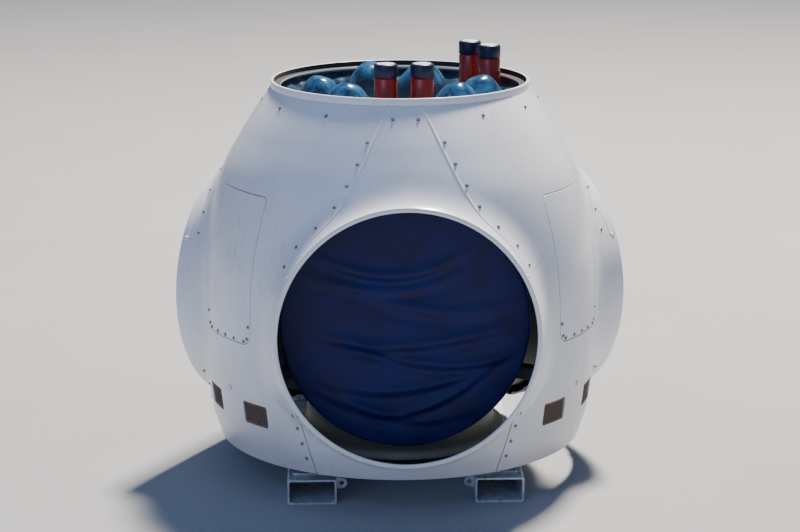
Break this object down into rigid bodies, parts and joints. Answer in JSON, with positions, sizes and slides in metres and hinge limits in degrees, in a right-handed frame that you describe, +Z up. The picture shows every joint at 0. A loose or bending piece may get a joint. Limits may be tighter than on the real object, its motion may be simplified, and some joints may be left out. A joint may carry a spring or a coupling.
{
  "type": "wind turbine rotor hub in its nose shell on transport beams",
  "caption": "White barrel-shaped rotor hub shell with flared round blade openings, cloth-covered blade bearings, an open nose and two hollow transport beams under it.",
  "frame": {"origin": "on the ground that the transport beams stand on, at the middle of the area that the hub covers, 70 mm behind the upright rotor axis", "axes": "+Z up, along the rotor axis towards the nose, blade opening 1 faces -Y, the transport beams run along Y, +X across them"},
  "size_m": [4.179, 3.6192, 3.893],
  "materials": {
    "shell_white": "satin gel coat",
    "vent_mesh": "woven wire",
    "casting_grey": "satin paint",
    "bearing_steel": "machined, greased",
    "cover_cloth": "coated cloth",
    "wrap_film": "crumpled film",
    "bottle_red": "gloss paint",
    "cap_navy": "satin",
    "zinc": "galvanised"
  },
  "bodies": {
    "hub": {"upper_arch_1": "shell_white", "upper_arch_2": "shell_white", "upper_arch_3": "shell_white", "lower_arch_1": "shell_white", "lower_arch_2": "shell_white", "lower_arch_3": "shell_white", "side_panel_1": "shell_white", "side_panel_2": "shell_white", "side_panel_3": "shell_white", "hatch_cover_1": "shell_white", "hatch_cover_2": "shell_white", "hatch_cover_3": "shell_white", "nose_ring": "shell_white", "vent_grille_1a": "vent_mesh", "vent_grille_1b": "vent_mesh", "vent_grille_2a": "vent_mesh", "vent_grille_2b": "vent_mesh", "vent_grille_3a": "vent_mesh", "vent_grille_3b": "vent_mesh", "hub_casting": "casting_grey", "shell_bracket_1": "casting_grey", "shell_bracket_2": "casting_grey", "shell_bracket_3": "casting_grey", "bearing_outer_ring_1": "bearing_steel", "bearing_outer_ring_2": "bearing_steel", "bearing_outer_ring_3": "bearing_steel", "nose_wrap": "wrap_film", "accumulator_1": "bottle_red", "accumulator_2": "bottle_red", "accumulator_3": "bottle_red", "accumulator_4": "bottle_red", "accumulator_cap_1": "cap_navy", "accumulator_cap_2": "cap_navy", "accumulator_cap_3": "cap_navy", "accumulator_cap_4": "cap_navy", "skid_beam_left": "zinc", "skid_beam_right": "zinc", "saddle_plate_left": "zinc", "saddle_plate_right": "zinc"},
    "blade_root_1": {"bearing_inner_ring_1": "bearing_steel", "blade_cover_1": "cover_cloth"},
    "blade_root_2": {"bearing_inner_ring_2": "bearing_steel", "blade_cover_2": "cover_cloth"},
    "blade_root_3": {"bearing_inner_ring_3": "bearing_steel", "blade_cover_3": "cover_cloth"}
  },
  "joints": [
    {"name": "blade_pitch_1", "type": "hinge", "parent": "hub", "child": "blade_root_1", "pos_m": [0, -0.07, 1.605], "axis": [0, -1, 0], "range_deg": [-5, 90]},
    {"name": "blade_pitch_2", "type": "hinge", "parent": "hub", "child": "blade_root_2", "pos_m": [0, -0.07, 1.605], "axis": [0.866, 0.5, 0], "range_deg": [-5, 90]},
    {"name": "blade_pitch_3", "type": "hinge", "parent": "hub", "child": "blade_root_3", "pos_m": [0, -0.07, 1.605], "axis": [-0.866, 0.5, 0], "range_deg": [-5, 90]}
  ]
}
